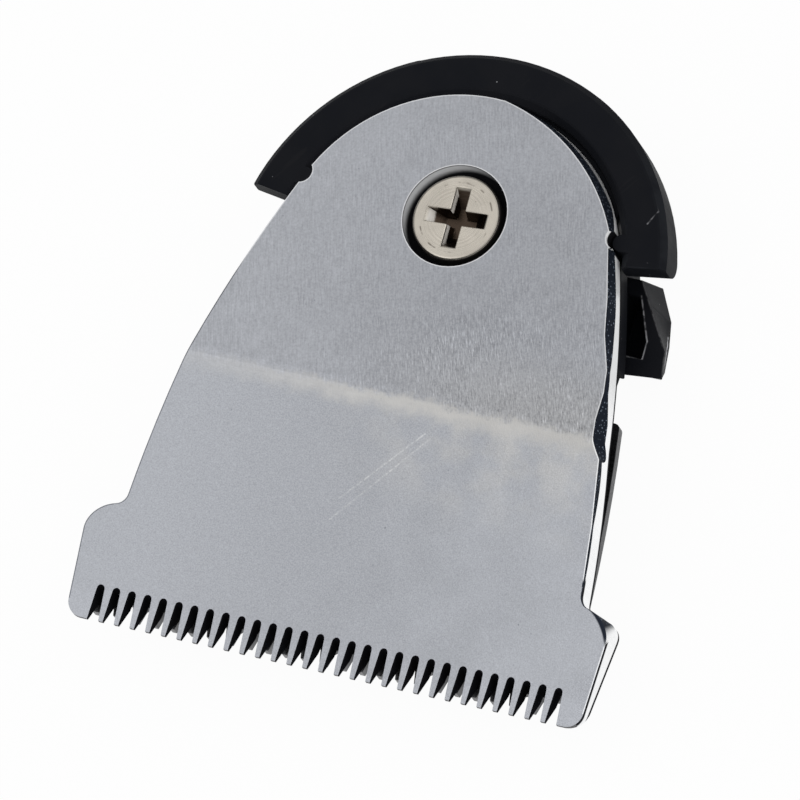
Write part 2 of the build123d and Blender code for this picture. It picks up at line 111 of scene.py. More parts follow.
class Sheet:
    """Adds nodes to one shader tree and joins them up."""

    def __init__(self, tree: bpy.types.NodeTree) -> None:
        """Keeps the tree that later calls add to."""
        self.tree = tree

    def node(self, kind: str, inputs: Inputs | None = None, **settings: object) -> bpy.types.Node:
        """Adds one node.

        Args:
            kind: Blender's name of the node type.
            inputs: What goes into its sockets, a socket to link or a plain value.
            settings: Properties of the node itself.

        Returns:
            The new node.
        """
        made = self.tree.nodes.new(kind)
        for name, value in settings.items():
            setattr(made, name, value)
        for key, value in (inputs or {}).items():
            self.feed(made.inputs[key], value)
        return made

    def feed(self, socket: Socket, value: Value) -> None:
        """Links a socket to another, or sets its own value."""
        if isinstance(value, bpy.types.NodeSocket):
            self.tree.links.new(value, socket)
        elif socket.type == "RGBA" and len(value) == 3:
            socket.default_value = (*value, 1.0)
        else:
            socket.default_value = value

    def math(self, operation: str, a: Value, b: Value = 0.0, c: Value = 0.0, clamp: bool = False) -> Socket:
        """Arithmetic on up to three numbers."""
        return self.node("ShaderNodeMath", {0: a, 1: b, 2: c}, operation=operation, use_clamp=clamp).outputs[0]

    def minus(self, a: Value, b: Value) -> Socket:
        """Difference of two numbers."""
        return self.math("SUBTRACT", a, b)

    def times(self, first: Value, *others: Value) -> Socket:
        """Product of numbers, such as the part that several masks share."""
        for other in others:
            first = self.math("MULTIPLY", first, other)
        return first

    def most(self, first: Value, *others: Value) -> Socket:
        """Largest of several numbers, such as masks laid together."""
        for other in others:
            first = self.math("MAXIMUM", first, other)
        return first

    def total(self, start: Value, *parts: tuple[Value, Value]) -> Socket:
        """A number plus each part times its own share."""
        for part, share in parts:
            start = self.math("MULTIPLY_ADD", part, share, start)
        return start

    def blend(self, share: Value, a: Value, b: Value) -> Socket:
        """Number a, with a share of number b blended over it."""
        return self.node("ShaderNodeMix", {0: share, 2: a, 3: b}).outputs[0]

    def vector(self, operation: str, a: Value, b: Value = (0.0, 0.0, 0.0)) -> bpy.types.Node:
        """Arithmetic on two vectors; the node's own outputs are read by name."""
        return self.node("ShaderNodeVectorMath", {0: a, 1: b}, operation=operation)

    def stretch(self, place: Value, sizes: Value) -> Socket:
        """A place multiplied along each axis by that axis's own size."""
        return self.vector("MULTIPLY", place, sizes).outputs[0]

    def axes(self, place: Value) -> Axes:
        """The three numbers of a place or a direction."""
        return tuple(self.node("ShaderNodeSeparateXYZ", {0: place}).outputs)

    def step(self, value: Value, low: Value, high: Value, first: Value = 0.0, last: Value = 1.0) -> Socket:
        """A smooth step from first, where value is at low, to last, where it is at high."""
        inputs = {"Value": value, "From Min": low, "From Max": high, "To Min": first, "To Max": last}
        return self.node("ShaderNodeMapRange", inputs, interpolation_type="SMOOTHSTEP").outputs[0]

    def mix(self, share: Value, a: Value, b: Value, blend: str = "MIX") -> Socket:
        """Colour a, with a share of colour b blended over it."""
        made = self.node("ShaderNodeMix", data_type="RGBA", blend_type=blend, clamp_factor=True)
        for socket, value in zip((made.inputs[0], made.inputs[6], made.inputs[7]), (share, a, b)):
            self.feed(socket, value)
        return made.outputs[2]

    def grey(self, value: Value) -> Socket:
        """A number as a grey colour."""
        return self.node("ShaderNodeCombineColor", {0: value, 1: value, 2: value}).outputs[0]

    def tint(self, colour: Value, tone: Value) -> Socket:
        """A colour made lighter or darker by a number."""
        return self.mix(1.0, colour, self.grey(tone), "MULTIPLY")

    def noise(self, place: Socket, scale: float, detail: float = 2.0, rough: float = 0.5) -> Socket:
        """Plain noise at a number of waves per unit of place."""
        inputs = {"Vector": place, "Scale": scale, "Detail": detail, "Roughness": rough}
        return self.node("ShaderNodeTexNoise", inputs).outputs["Fac"]


class Effect:
    """A shader node group with named inputs and one output that several finishes share."""

    def __init__(self, name: str, inputs: dict[str, tuple[str, object]], output: str) -> None:
        """Makes the empty group.

        Args:
            name: Name of the group.
            inputs: Kind of socket and default value of each input.
            output: Name of its output, a plain number.
        """
        self.tree = bpy.data.node_groups.new(name, "ShaderNodeTree")
        for label, (kind, default) in inputs.items():
            socket = self.tree.interface.new_socket(label, in_out="INPUT", socket_type="NodeSocket" + kind)
            if default is not None:
                socket.default_value = default
        self.tree.interface.new_socket(output, in_out="OUTPUT", socket_type="NodeSocketFloat")
        self.sheet = Sheet(self.tree)
        self.inside = self.sheet.node("NodeGroupInput").outputs
        self.result = self.sheet.node("NodeGroupOutput").inputs[output]

    def place(self, sheet: Sheet, **inputs: Value) -> Socket:
        """Puts the group into a material.

        Args:
            sheet: The material's own sheet.
            inputs: Values for the group's inputs, by name.

        Returns:
            The output of the placed group.
        """
        made = sheet.node("ShaderNodeGroup", node_tree=self.tree)
        for label, value in inputs.items():
            sheet.feed(made.inputs[label], value)
        return made.outputs[0]

    def drawn_out(self) -> tuple[Socket, Socket]:
        """Turns the group's Place by its Turn, and draws it out by its Across and Along.

        Returns:
            The turned place, and the drawn-out place in waves of noise.
        """
        s, put = self.sheet, self.inside
        turn = {"Vector": put["Place"], "Angle": put["Turn"]}
        turned = s.node("ShaderNodeVectorRotate", turn, rotation_type="Z_AXIS").outputs[0]
        size = s.node("ShaderNodeCombineXYZ", {0: put["Across"], 1: put["Along"], 2: put["Across"]}).outputs[0]
        return turned, s.stretch(turned, size)


def brushed_lines() -> Effect:
    """Grinding lines: noise squeezed across a direction and drawn out along it, broken up by a slower noise."""
    made = Effect(
        "brushed_lines",
        {"Place": ("Vector", None), "Turn": ("Float", 0.0), "Across": ("Float", 8.0), "Along": ("Float", 0.4)},
        "Lines",
    )
    s = made.sheet
    turned, drawn = made.drawn_out()
    lines = s.step(s.noise(drawn, 1.0, 4.0, 0.7), *NOISE_BAND)
    patches = s.step(s.noise(turned, 0.35, 2.0), *NOISE_BAND, 0.45, 1.0)
    s.feed(made.result, s.total(0.5, (s.minus(lines, 0.5), patches)))
    return made


def soft_mottle() -> Effect:
    """Stains and tarnish: slow noise stretched to the full range between two levels."""
    made = Effect(
        "soft_mottle",
        {"Place": ("Vector", None), "Scale": ("Float", 0.3), "Low": ("Float", 0.35), "High": ("Float", 0.65)},
        "Mask",
    )
    s, put = made.sheet, made.inside
    cloud = s.node("ShaderNodeTexNoise", {"Vector": put["Place"], "Scale": put["Scale"], "Detail": 4.0})
    s.feed(made.result, s.step(cloud.outputs["Fac"], put["Low"], put["High"]))
    return made


def small_spots() -> Effect:
    """Pits, grit or dust: one round spot in a share of the cells of a random pattern."""
    made = Effect(
        "small_spots",
        {"Place": ("Vector", None), "Scale": ("Float", 1.5), "Size": ("Float", 0.08), "Share": ("Float", 0.3)},
        "Mask",
    )
    s, put = made.sheet, made.inside
    cells = s.node("ShaderNodeTexVoronoi", {"Vector": put["Place"], "Scale": put["Scale"]})
    chance = s.node("ShaderNodeSeparateColor", {0: cells.outputs["Color"]}).outputs
    size = s.times(put["Size"], s.total(0.4, (chance[1], 0.8)))
    spot = s.step(cells.outputs["Distance"], s.times(size, 0.55), size, 1.0, 0.0)
    s.feed(made.result, s.times(spot, s.math("LESS_THAN", chance[0], put["Share"])))
    return made


def hair_scratches() -> Effect:
    """Sparse hair scratches: the crests of noise that is drawn out far along one direction."""
    made = Effect(
        "hair_scratches",
        {
            "Place": ("Vector", None), "Turn": ("Float", 0.0), "Across": ("Float", 4.0),
            "Along": ("Float", 0.12), "Level": ("Float", 0.68),
        },
        "Mask",
    )
    s, level = made.sheet, made.inside["Level"]
    crest = s.noise(made.drawn_out()[1], 1.0, 1.0, 0.4)
    s.feed(made.result, s.step(crest, level, s.math("ADD", level, 0.05)))
    return made


def single_scratch() -> Effect:
    """One scratch: one near the line between two points, falling to nought at its half-width."""
    made = Effect(
        "single_scratch",
        {"Place": ("Vector", None), "Start": ("Vector", None), "End": ("Vector", None), "Width": ("Float", 0.05)},
        "Mask",
    )
    s, put = made.sheet, made.inside
    run = s.vector("SUBTRACT", put["End"], put["Start"]).outputs[0]
    reach = s.vector("SUBTRACT", put["Place"], put["Start"]).outputs[0]
    ahead = s.vector("DOT_PRODUCT", reach, run).outputs["Value"]
    length = s.vector("DOT_PRODUCT", run, run).outputs["Value"]
    share = s.math("DIVIDE", ahead, length, clamp=True)
    foot = s.node("ShaderNodeVectorMath", {0: run, "Scale": share}, operation="SCALE").outputs[0]
    off = s.vector("LENGTH", s.vector("SUBTRACT", reach, foot).outputs[0]).outputs["Value"]
    s.feed(made.result, s.step(off, 0.0, put["Width"], 1.0, 0.0))
    return made


@dataclass(frozen=True)
class Effects:
    """The effects that the finishes share, each built once."""

    lines: Effect = field(default_factory=brushed_lines)
    mottle: Effect = field(default_factory=soft_mottle)
    spots: Effect = field(default_factory=small_spots)
    hairs: Effect = field(default_factory=hair_scratches)
    scratch: Effect = field(default_factory=single_scratch)


# ---- finishes


@dataclass(frozen=True)
class Finish:
    """A material whose pattern is placed in millimetres of the row frame."""

    name: str
    slot: str

    def start(self) -> tuple[bpy.types.Material, Sheet, Socket, bpy.types.Node]:
        """Makes the material.

        Returns:
            The material, its sheet, the place in millimetres and its Principled shader.
        """
        made = bpy.data.materials.new(self.name)
        made.use_nodes = True
        sheet = Sheet(made.node_tree)
        place = sheet.node("ShaderNodeTexCoord").outputs["Object"]
        scaled = sheet.node("ShaderNodeVectorMath", {0: place, "Scale": 1.0 / MM}, operation="SCALE").outputs[0]
        return made, sheet, scaled, made.node_tree.nodes["Principled BSDF"]

    @staticmethod
    def facing(sheet: Sheet) -> Axes:
        """The direction that the surface faces, as three numbers."""
        return sheet.axes(sheet.node("ShaderNodeTexCoord").outputs["Normal"])

    @staticmethod
    def relief(sheet: Sheet, shader: bpy.types.Node, height: Socket, depth: float) -> None:
        """Bumps the surface by a height that runs from 0 to 1 over a depth in millimetres."""
        bump = sheet.node("ShaderNodeBump", {"Height": height, "Distance": depth * MM, "Strength": 1.0})
        sheet.feed(shader.inputs["Normal"], bump.outputs[0])

    def material(self, effects: Effects) -> bpy.types.Material:
        """Builds the material; each finish does it in its own way.

        Args:
            effects: The shared effects.

        Returns:
            The finished material.
        """
        raise NotImplementedError


@dataclass(frozen=True)
class CombSteel(Finish):
    """Punched and ground steel: brushed above the bend, matt below it, bright walls and dark torn edges, with
    painted light and shade on its walls, its edges and its screw seat.

    A span holds the two places or depths between which one look turns into another.
    """

    upper: Colour = (0.338, 0.348, 0.374)
    lower: Colour = (0.356, 0.368, 0.396)
    warm: Colour = (0.466, 0.459, 0.447)
    wall: Colour = (0.95, 0.955, 0.96)
    torn: Colour = (0.016, 0.020, 0.029)
    grit: Colour = (0.2, 0.235, 0.29)
    back: Colour = (0.38, 0.385, 0.395)
    shadow: Colour = (0.012, 0.012, 0.014)
    tip: Colour = (0.16, 0.16, 0.165)
    pit: Colour = (0.10, 0.11, 0.13)
    scored: Colour = (0.75, 0.75, 0.74)
    seat_painted_light: Colour = (0.9, 0.91, 0.93)
    depth: float = 0.006
    wall_draw: float = math.radians(28)
    brush_turn: float = math.radians(-19)
    lean_turn: float = math.radians(-24)
    hair_turn: float = math.radians(-38)
    fade: float = 0.05
    back_line: Span = (1.53, 1.63)
    lip_line: Span = (0.26, 0.36)
    lip_below: Span = (-10.2, -10.5)
    lit_foot_z: Span = (FRONT_Z - 1.05, FRONT_Z - 1.25)
    lit_foot_above: Span = (8.6, 9.6)
    ear_wall: Span = (15.65, 16.02)
    ear_circle: tuple[float, float, float] = (12.63, -14.91, 3.53)
    notch: tuple[float, float, float] = (8.5, 8.86, 0.7)
    notch_lit: float = 0.2
    scratch_width: float = 0.085
    scratches: tuple[tuple[Point, Point], ...] = (
        ((-1.76, -10.19, 5.86), (2.8, -4.69, 6.87)),
        ((-1.5, -8.91, 6.09), (2.43, -4.48, 6.91)),
    )

    def upper_face(self, s: Sheet, effects: Effects, place: Socket, axes: Axes) -> tuple[Socket, Socket]:
        """Brushed face above the bend: fine upright lines, and coarser leaning ones low on the right.

        Args:
            s: The material's sheet.
            effects: The shared effects.
            place: The place in millimetres.
            axes: The same place as three numbers.

        Returns:
            Its colour, and the height of its lines.
        """
        x, y, _ = axes
        lean = self.lean_turn
        fine = effects.lines.place(s, Place=place, Turn=self.brush_turn, Across=10.0, Along=0.9)
        grain = s.noise(place, 8.0, 3.0, 0.65)
        coarse = effects.lines.place(s, Place=place, Turn=lean, Across=15.0, Along=2.0)
        light = effects.hairs.place(s, Place=place, Turn=lean, Across=15.0, Along=1.8, Level=0.63)
        cloud = effects.mottle.place(s, Place=place, Scale=0.35)
        rubbed = s.times(s.step(x, -9.0, 6.0, 0.1, 1.0), s.step(y, 7.0, -1.0, 0.15, 1.0))
        # Painted light and shade: the face is painted lighter on the left and at the top, and darker and a little
        # warmer low on the right near the bend.
        shade_low_right = s.times(s.step(x, -4.0, 9.0), s.step(y, 2.5, BEND_Y + 0.7))
        coarse = s.times(s.minus(coarse, 0.5), s.times(rubbed, 0.62))
        tone = s.total(
            s.step(x, 3.0, -11.0, 0.51, 0.64),
            (fine, 0.28),
            (grain, 0.66),
            (s.step(y, 6.0, 14.0), 0.06),
            (coarse, 1.0),
            (s.times(light, rubbed), 0.3),
            (shade_low_right, -0.06),
            (cloud, 0.05),
        )
        colour = s.mix(s.times(shade_low_right, 0.35), self.upper, self.warm)
        return s.tint(colour, tone), s.total(s.times(fine, 0.3), (coarse, 1.6))

    def lower_face(self, s: Sheet, effects: Effects, place: Socket, axes: Axes) -> Socket:
        """Matt face below the bend: fine speckle, faint hair scratches and warm stains near the bend."""
        x, y, _ = axes
        grain = s.noise(place, 13.0, 3.0, 0.6)
        cloud = effects.mottle.place(s, Place=place, Scale=0.5)
        hairs = effects.hairs.place(s, Place=place, Turn=self.hair_turn, Across=5.0, Along=0.2, Level=0.7)
        tone = s.total(
            s.step(x, -2.0, 15.0, 0.55, 0.67),
            (s.step(x, -3.0, -14.0), 0.075),
            (grain, 0.8),
            (hairs, 0.05),
            (s.step(y, -16.4, -17.6), 0.05),
        )
        stain = s.times(s.step(x, -5.0, 6.0), s.step(y, -10.5, BEND_Y - 0.6))
        colour = s.tint(s.mix(s.times(stain, cloud, 0.6), self.lower, self.warm), tone)
        for start, end in self.scratches:
            line = effects.scratch.place(s, Place=place, Start=start, End=end, Width=self.scratch_width)
            broken = s.times(line, s.step(s.noise(place, 5.0, 3.0, 0.7), 0.45, 0.65, 0.06, 0.42))
            colour = s.mix(broken, colour, self.scored)
        return colour

    def front_face(
        self, s: Sheet, effects: Effects, place: Socket, axes: Axes, off: Socket, pits: Socket
    ) -> tuple[Socket, Socket]:
        """Both ground faces, with a lighter warm band along the ridge between them, and small pits.

        Args:
            s, effects, place, axes: As for the upper face.
            off: Height above the uneven line where the faces meet.
            pits: Where the pits are.

        Returns:
            Their colour, and the height of the lines in them.
        """
        upper, height = self.upper_face(s, effects, place, axes)
        ridge = s.times(s.step(off, -1.1, 0.0), s.step(off, 0.0, 0.55, 1.0, 0.0))
        ridge = s.times(ridge, s.step(axes[0], -14.0, 2.0, 0.2, 0.95))
        face = s.mix(s.step(off, 0.45, -0.6), upper, self.lower_face(s, effects, place, axes))
        return s.mix(s.times(pits, 0.45), s.mix(ridge, face, self.warm), self.pit), height

    def punched_wall(self, s: Sheet, place: Socket, axes: Axes) -> Socket:
        """Burnished wall, with painted shade at its back edge, at the ears' front edge and deep in the right-hand
        notch.
        """
        x, y, z = axes
        fall = s.times(s.math("MINIMUM", s.minus(y, BEND_Y), 0.0), SLOPE)
        depth = s.minus(s.math("ADD", fall, FRONT_Z), z)
        back = s.most(s.step(depth, *self.back_line), s.step(z, BACK_Z + 0.3, BACK_Z + 0.2))
        lip = s.times(s.step(depth, *self.lip_line, 1.0, 0.0), s.step(y, *self.lip_below))
        start, middle, half = self.notch
        aside = s.math("ABSOLUTE", s.minus(y, middle))
        notch = s.times(s.step(x, start - 0.1, start), s.step(aside, half + self.fade, half - self.fade))
        notch = s.times(notch, s.step(depth, self.notch_lit, self.notch_lit + 0.1))
        burnish = s.noise(s.stretch(place, (7.0, 7.0, 0.5)), 1.0, 2.0)
        wall = s.tint(self.wall, s.total(0.93, (burnish, 0.12)))
        return s.mix(s.most(back, lip, notch), wall, self.shadow)

    def torn_edge(self, s: Sheet, axes: Axes, speck: Socket) -> Socket:
        """Dark gritty tear, with a painted highlight at its foot where it runs round the crown."""
        torn = s.mix(s.times(speck, 0.8), self.torn, self.grit)
        foot = s.times(s.step(axes[2], *self.lit_foot_z), s.step(axes[1], *self.lit_foot_above))
        return s.mix(s.times(foot, 0.8), torn, self.wall)

    def torn_ear(self, s: Sheet, axes: Axes) -> Socket:
        """Share of the tear that reaches over the face at the top of the right ear: all outside a circle."""
        x, y, _ = axes
        middle_x, middle_y, radius = self.ear_circle
        across, up = s.minus(x, middle_x), s.minus(y, middle_y)
        reach = s.math("SQRT", s.total(s.times(up, up), (across, across)))
        here = s.times(s.step(x, 14.2, 14.4), s.step(y, -14.2, -13.2))
        return s.times(here, s.step(reach, radius - self.fade, radius + self.fade))

    def screw_seat(self, s: Sheet, axes: Axes) -> Socket:
        """Wall of the screw's seat, with painted shade at its foot and on the right and painted light high on the
        left.
        """
        x, y, z = axes
        side = s.total(s.times(s.minus(y, SCREW_Y), 0.6), (x, -0.8))
        lit = s.times(s.step(z, FRONT_Z - 1.2, FRONT_Z - 0.45), s.step(side, 0.3, 3.0, 0.05, 0.85))
        lit = s.times(lit, s.step(z, FRONT_Z - 0.17, FRONT_Z - 0.08, 1.0, 0.3))
        return s.mix(lit, self.shadow, self.seat_painted_light)

    def material(self, effects: Effects) -> bpy.types.Material:
        """Builds the material, which reads the mesh's own zone attribute."""
        made, s, place, shader = self.start()
        axes = s.axes(place)
        x, y, z = axes
        zone = s.node("ShaderNodeAttribute", attribute_name=ZONE).outputs["Fac"]
        uneven = s.total(BEND_Y - 1.1, (s.noise(place, 0.9, 3.0, 0.6), 1.2), (s.noise(place, 4.5, 3.0, 0.7), 0.8))
        off = s.minus(y, uneven)
        pits = effects.spots.place(s, Place=place, Scale=1.4, Size=0.07, Share=0.22)
        speck = effects.spots.place(s, Place=place, Scale=7.0, Size=0.42, Share=0.5)
        lines = effects.lines.place(s, Place=place, Turn=CROSSWISE, Across=8.0, Along=0.2)
        face, height = self.front_face(s, effects, place, axes, off, pits)
        torn, torn_ear = self.torn_edge(s, axes, speck), self.torn_ear(s, axes)
        ears = s.step(s.math("ABSOLUTE", x), *self.ear_wall)
        left = s.times(s.step(x, -6.0, -8.0), s.step(y, 4.0, 2.0))
        neck = s.times(s.step(y, -12.4, -12.0), s.step(y, -10.3, -10.6), s.step(x, 13.4, 13.6))
        # The front face's border is a painted highlight, lighter towards the wall's white, but on the left a painted
        # shade, darker towards the tear.
        edge = s.mix(left, s.mix(0.45, face, self.wall), s.mix(0.7, face, self.torn))
        edge = s.mix(s.most(torn_ear, neck), edge, self.torn)
        face = s.mix(torn_ear, face, self.torn)
        roll = s.mix(left, s.mix(ears, torn, self.wall), face)
        ground = s.tint(self.back, s.total(0.85, (lines, 0.3)))

        colour, metal = face, 1.0
        rough = s.total(s.step(off, 0.3, -0.4, 0.32, 0.38), (s.noise(place, 11.0, 3.0, 0.6), 0.12))
        # Colour, roughness and metallic of each zone but the face.
        looks = {
            Zone.EDGE: (edge, 0.3, 1.0),
            Zone.TORN: (torn, 0.5, 0.3),
            # Above the bend the wall is made mostly non-metal, so its white is a painted reflection where the real
            # one is blocked.
            Zone.WALL: (self.punched_wall(s, place, axes), 0.14, s.step(y, -2.0, 1.5, 1.0, 0.25)),
            Zone.GAP: (s.mix(speck, self.shadow, self.torn), 0.5, 0.0),
            Zone.SEAT: (self.screw_seat(s, axes), 0.4, 0.1),
            Zone.BACK: (ground, 0.34, 1.0),
            Zone.ROLL: (roll, 0.3, s.step(s.most(ears, left), 0.0, 1.0, 0.2, 0.9)),
            Zone.TIP: (self.tip, 0.4, 0.3),
        }
        here = {kind: s.math("COMPARE", zone, float(kind), 0.25) for kind in looks}
        for kind, (paint, gloss, share) in looks.items():
            colour = s.mix(here[kind], colour, paint)
            rough = s.blend(here[kind], rough, gloss)
            metal = s.blend(here[kind], metal, share)
        s.feed(shader.inputs["Base Color"], colour)
        s.feed(shader.inputs["Roughness"], rough)
        s.feed(shader.inputs["Metallic"], metal)
        shader.inputs["Specular IOR Level"].default_value = 0.0

        broken = s.times(s.noise(place, 9.0, 4.0, 0.7), s.times(here[Zone.TORN], 8.0))
        drawn = s.times(here[Zone.WALL], s.times(z, -math.tan(self.wall_draw) / self.depth))
        height = s.total(height, (pits, -0.8), (broken, 1.0), (drawn, 1.0))
        self.relief(s, shader, height, self.depth)
        return made


@dataclass(frozen=True)
class CutterSteel(Finish):
    """Thin hardened strip, ground along its length, painted dark as shade and lighter at its tips, in streaks, as
    painted light.
    """

    # The dark base colour is painted shade, and the lighter colour named worn is painted light on the tips.
    base: Colour = (0.05, 0.051, 0.054)
    worn: Colour = (0.16, 0.16, 0.165)
    lit_tip: Span = (-16.9, -17.75)

    def material(self, effects: Effects) -> bpy.types.Material:
        """Builds the material from fine grinding lines and a slow mottle."""
        made, s, place, shader = self.start()
        lines = effects.lines.place(s, Place=place, Turn=CROSSWISE, Across=7.0, Along=0.25)
        cloud = effects.mottle.place(s, Place=place, Scale=0.5)
        streaks = s.noise(s.stretch(place, (9.0, 0.6, 1.0)), 1.0, 2.0)
        # Painted light: the tips take the lighter colour in streaks.
        worn = s.times(s.step(s.axes(place)[1], *self.lit_tip), s.step(streaks, *NOISE_BAND, 0.4, 1.0))
        tone = s.total(0.72, (cloud, 0.15), (lines, 0.4))
        s.feed(shader.inputs["Base Color"], s.tint(s.mix(worn, self.base, self.worn), tone))
        s.feed(shader.inputs["Roughness"], s.total(0.25, (lines, 0.2)))
        shader.inputs["Metallic"].default_value = 1.0
        self.relief(s, shader, lines, 0.004)
        return made


@dataclass(frozen=True)
class Mark:
    """One scratch or painted highlight line in a moulded face: its two ends, its half-width and how light it is."""

    start: Point
    end: Point
    width: float
    level: float


@dataclass(frozen=True)
class MouldedPlastic(Finish):
    """Satin moulded plastic with a fine spark-eroded grain, scuffs, a little dust and a painted highlight on its
    broken edges to the right.
    """

    base: Colour = (0.009, 0.0098, 0.0125)
    worn: Colour = (0.016, 0.016, 0.018)
    dust: Colour = (0.30, 0.30, 0.32)
    # Colour of the painted highlight on the broken edges to the right.
    rubbed: Colour = (0.017, 0.0185, 0.022)
    dust_share: float = 0.08
    gloss: float = 0.34
    specular: float = 0.022
    hair_turn: float = math.radians(35)
    mark_blue: float = 1.05
    highlight_right: Span = (7.5, 10.5)
    highlight_above: Span = (3.4, 3.9)
    marks: tuple[Mark, ...] = ()

    def material(self, effects: Effects) -> bpy.types.Material:
        """Builds the material from its grain, the marks, the painted highlight on the broken edges to the right and
        the dust.
        """
        made, s, place, shader = self.start()
        x, _, z = s.axes(place)
        grain = s.noise(place, 14.0, 3.0, 0.6)
        cloud = effects.mottle.place(s, Place=place, Scale=0.4)
        hairs = effects.hairs.place(s, Place=place, Turn=self.hair_turn, Across=3.2, Along=0.3, Level=0.71)
        specks = effects.spots.place(s, Place=place, Scale=1.9, Size=0.09, Share=self.dust_share)
        colour = s.mix(s.times(cloud, 0.25), self.base, self.worn)
        colour = s.mix(s.times(hairs, 0.35), colour, self.worn)
        patchy = s.step(s.noise(place, 2.4, 2.0), 0.35, 0.55, 0.15, 1.0)
        for mark in self.marks:
            line = effects.scratch.place(s, Place=place, Start=mark.start, End=mark.end, Width=mark.width)
            colour = s.mix(s.times(line, patchy), colour, (mark.level, mark.level, mark.level * self.mark_blue))
        # Painted highlight: the broken edges on the right, facing partly up, take the lighter colour named rubbed.
        upward = self.facing(s)[2]
        broken_edge = s.times(s.step(upward, 0.5, 0.65), s.step(upward, 0.97, 0.85))
        rubbed = s.times(s.step(x, *self.highlight_right), s.step(z, *self.highlight_above))
        rubbed = s.times(rubbed, s.step(s.noise(place, 0.8, 3.0), 0.3, 0.6, 0.3, 1.0))
        colour = s.mix(s.times(broken_edge, rubbed), colour, self.rubbed)
        s.feed(shader.inputs["Base Color"], s.mix(s.times(specks, 0.7), colour, self.dust))
        s.feed(shader.inputs["Roughness"], s.total(self.gloss, (grain, 0.16), (cloud, 0.08)))
        shader.inputs["Specular IOR Level"].default_value = self.specular
        self.relief(s, shader, grain, 0.006)
        return made


@dataclass(frozen=True)
class ScrewNickel(Finish):
    """Warm nickel plate with faint turning rings and small dents, dark inside the recess."""

    base: Colour = (0.525, 0.487, 0.427)
    dark: Colour = (0.04, 0.024, 0.015)
    glint: Colour = (0.9, 0.86, 0.8)
    recess_radius: float = 2.0
    groove_radius: float = 2.1
    recess_z: Span = (HEAD_TOP - 0.25, HEAD_TOP - 0.05)
    glint_z: Span = (HEAD_TOP - 0.6, HEAD_TOP - 0.45)

    def material(self, effects: Effects) -> bpy.types.Material:
        """Builds the material from rings round the screw's axis, with the recess dark but for a glint."""
        made, s, place, shader = self.start()
        height = s.axes(place)[2]
        from_screw = s.vector("SUBTRACT", place, (0.0, SCREW_Y, 0.0)).outputs[0]
        radius = s.vector("LENGTH", s.stretch(from_screw, (1.0, 1.0, 0.0))).outputs["Value"]
        turned = {"W": radius, "Scale": 9.0, "Detail": 3.0}
        rings = s.node("ShaderNodeTexNoise", turned, noise_dimensions="1D").outputs["Fac"]
        dents = effects.spots.place(s, Place=place, Scale=2.6, Size=0.1, Share=0.3)
        cloud = effects.mottle.place(s, Place=place, Scale=0.9)
        groove = s.step(s.math("ABSOLUTE", s.minus(radius, self.groove_radius)), 0.02, 0.07, 1.0, 0.0)
        groove = s.times(groove, s.step(s.noise(place, 1.3, 2.0), 0.5, 0.62))
        colour = s.tint(self.base, s.total(0.9, (cloud, 0.1), (rings, 0.08)))
        colour = s.mix(s.times(s.most(dents, groove), 0.6), colour, self.dark)
        inside = s.step(height, *self.recess_z, 1.0, 0.0)
        inside = s.times(inside, s.math("LESS_THAN", radius, self.recess_radius))
        lit = s.times(s.step(self.facing(s)[0], 0.5, 0.75), s.step(height, *self.glint_z))
        inner = s.mix(lit, self.dark, self.glint)
        s.feed(shader.inputs["Base Color"], s.mix(s.times(inside, 0.95), colour, inner))
        s.feed(shader.inputs["Metallic"], s.minus(1.0, s.times(lit, inside)))
        s.feed(shader.inputs["Roughness"], s.total(0.22, (rings, 0.12)))
        self.relief(s, shader, s.total(rings, (dents, -1.5)), 0.004)
        return made


@dataclass(frozen=True)
class SpringWire(Finish):
    """Drawn spring wire: bright, with die lines along its length."""

    base: Colour = (0.46, 0.46, 0.47)

    def material(self, effects: Effects) -> bpy.types.Material:
        """Builds the material; the lines follow the wire's own UV map, round it in U and along it in V."""
        made, s, place, shader = self.start()
        wire = s.node("ShaderNodeUVMap", uv_map="wire").outputs[0]
        lines = s.noise(s.stretch(wire, (14.0, 0.4, 1.0)), 1.0, 3.0)
        cloud = effects.mottle.place(s, Place=place, Scale=0.8)
        tone = s.total(0.72, (cloud, 0.12), (lines, 0.35))
        s.feed(shader.inputs["Base Color"], s.tint(self.base, tone))
        s.feed(shader.inputs["Roughness"], s.total(0.2, (lines, 0.2)))
        shader.inputs["Metallic"].default_value = 1.0
        self.relief(s, shader, lines, 0.003)
        return made


# ---- pieces


def mesh_arrays(mesh: bpy.types.Mesh) -> tuple[np.ndarray, np.ndarray]:
    """Normal and centre of every face as whole arrays, the centres in millimetres."""
    normal = np.empty(len(mesh.polygons) * 3, np.float32)
    centre = np.empty(len(mesh.polygons) * 3, np.float32)
    mesh.polygons.foreach_get("normal", normal)
    mesh.polygons.foreach_get("center", centre)
    return normal.reshape(-1, 3), centre.reshape(-1, 3) / MM


def smooth_below(mesh: bpy.types.Mesh, degrees: float, flat_area: float = 2.0) -> None:
    """Shades a mesh smooth across edges that bend less than an angle, but keeps its large faces flat."""
    area = np.empty(len(mesh.polygons), np.float32)
    mesh.polygons.foreach_get("area", area)
    mesh.polygons.foreach_set("use_smooth", area < flat_area * MM * MM)
    mesh.set_sharp_from_angle(angle=math.radians(degrees))


@dataclass
class Piece:
    """A named piece that stands for one CAD node and rides on that node's body."""

    node: str
    name: str
    body: Body
    finish: Finish

    def build(self) -> bpy.types.Object:
        """Makes the piece's own object; each kind of piece does it in its own way."""
        raise NotImplementedError

    def link(self, mesh: bpy.types.Mesh) -> bpy.types.Object:
        """Puts a mesh into the scene under the piece's name."""
        piece = bpy.data.objects.new(self.name, mesh)
        bpy.context.scene.collection.objects.link(piece)
        return piece

    def dress(self, piece: bpy.types.Object, effects: Effects) -> bpy.types.Object:
        """Gives the piece its finish and its body, hides the CAD node it stands for and logs its face count."""
        piece.data.materials.append(self.finish.material(effects))
        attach(piece, self.body.value)
        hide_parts(self.node)
        log.info("%s: %d faces on %s", piece.name, len(piece.data.polygons), self.body.value)
        return piece


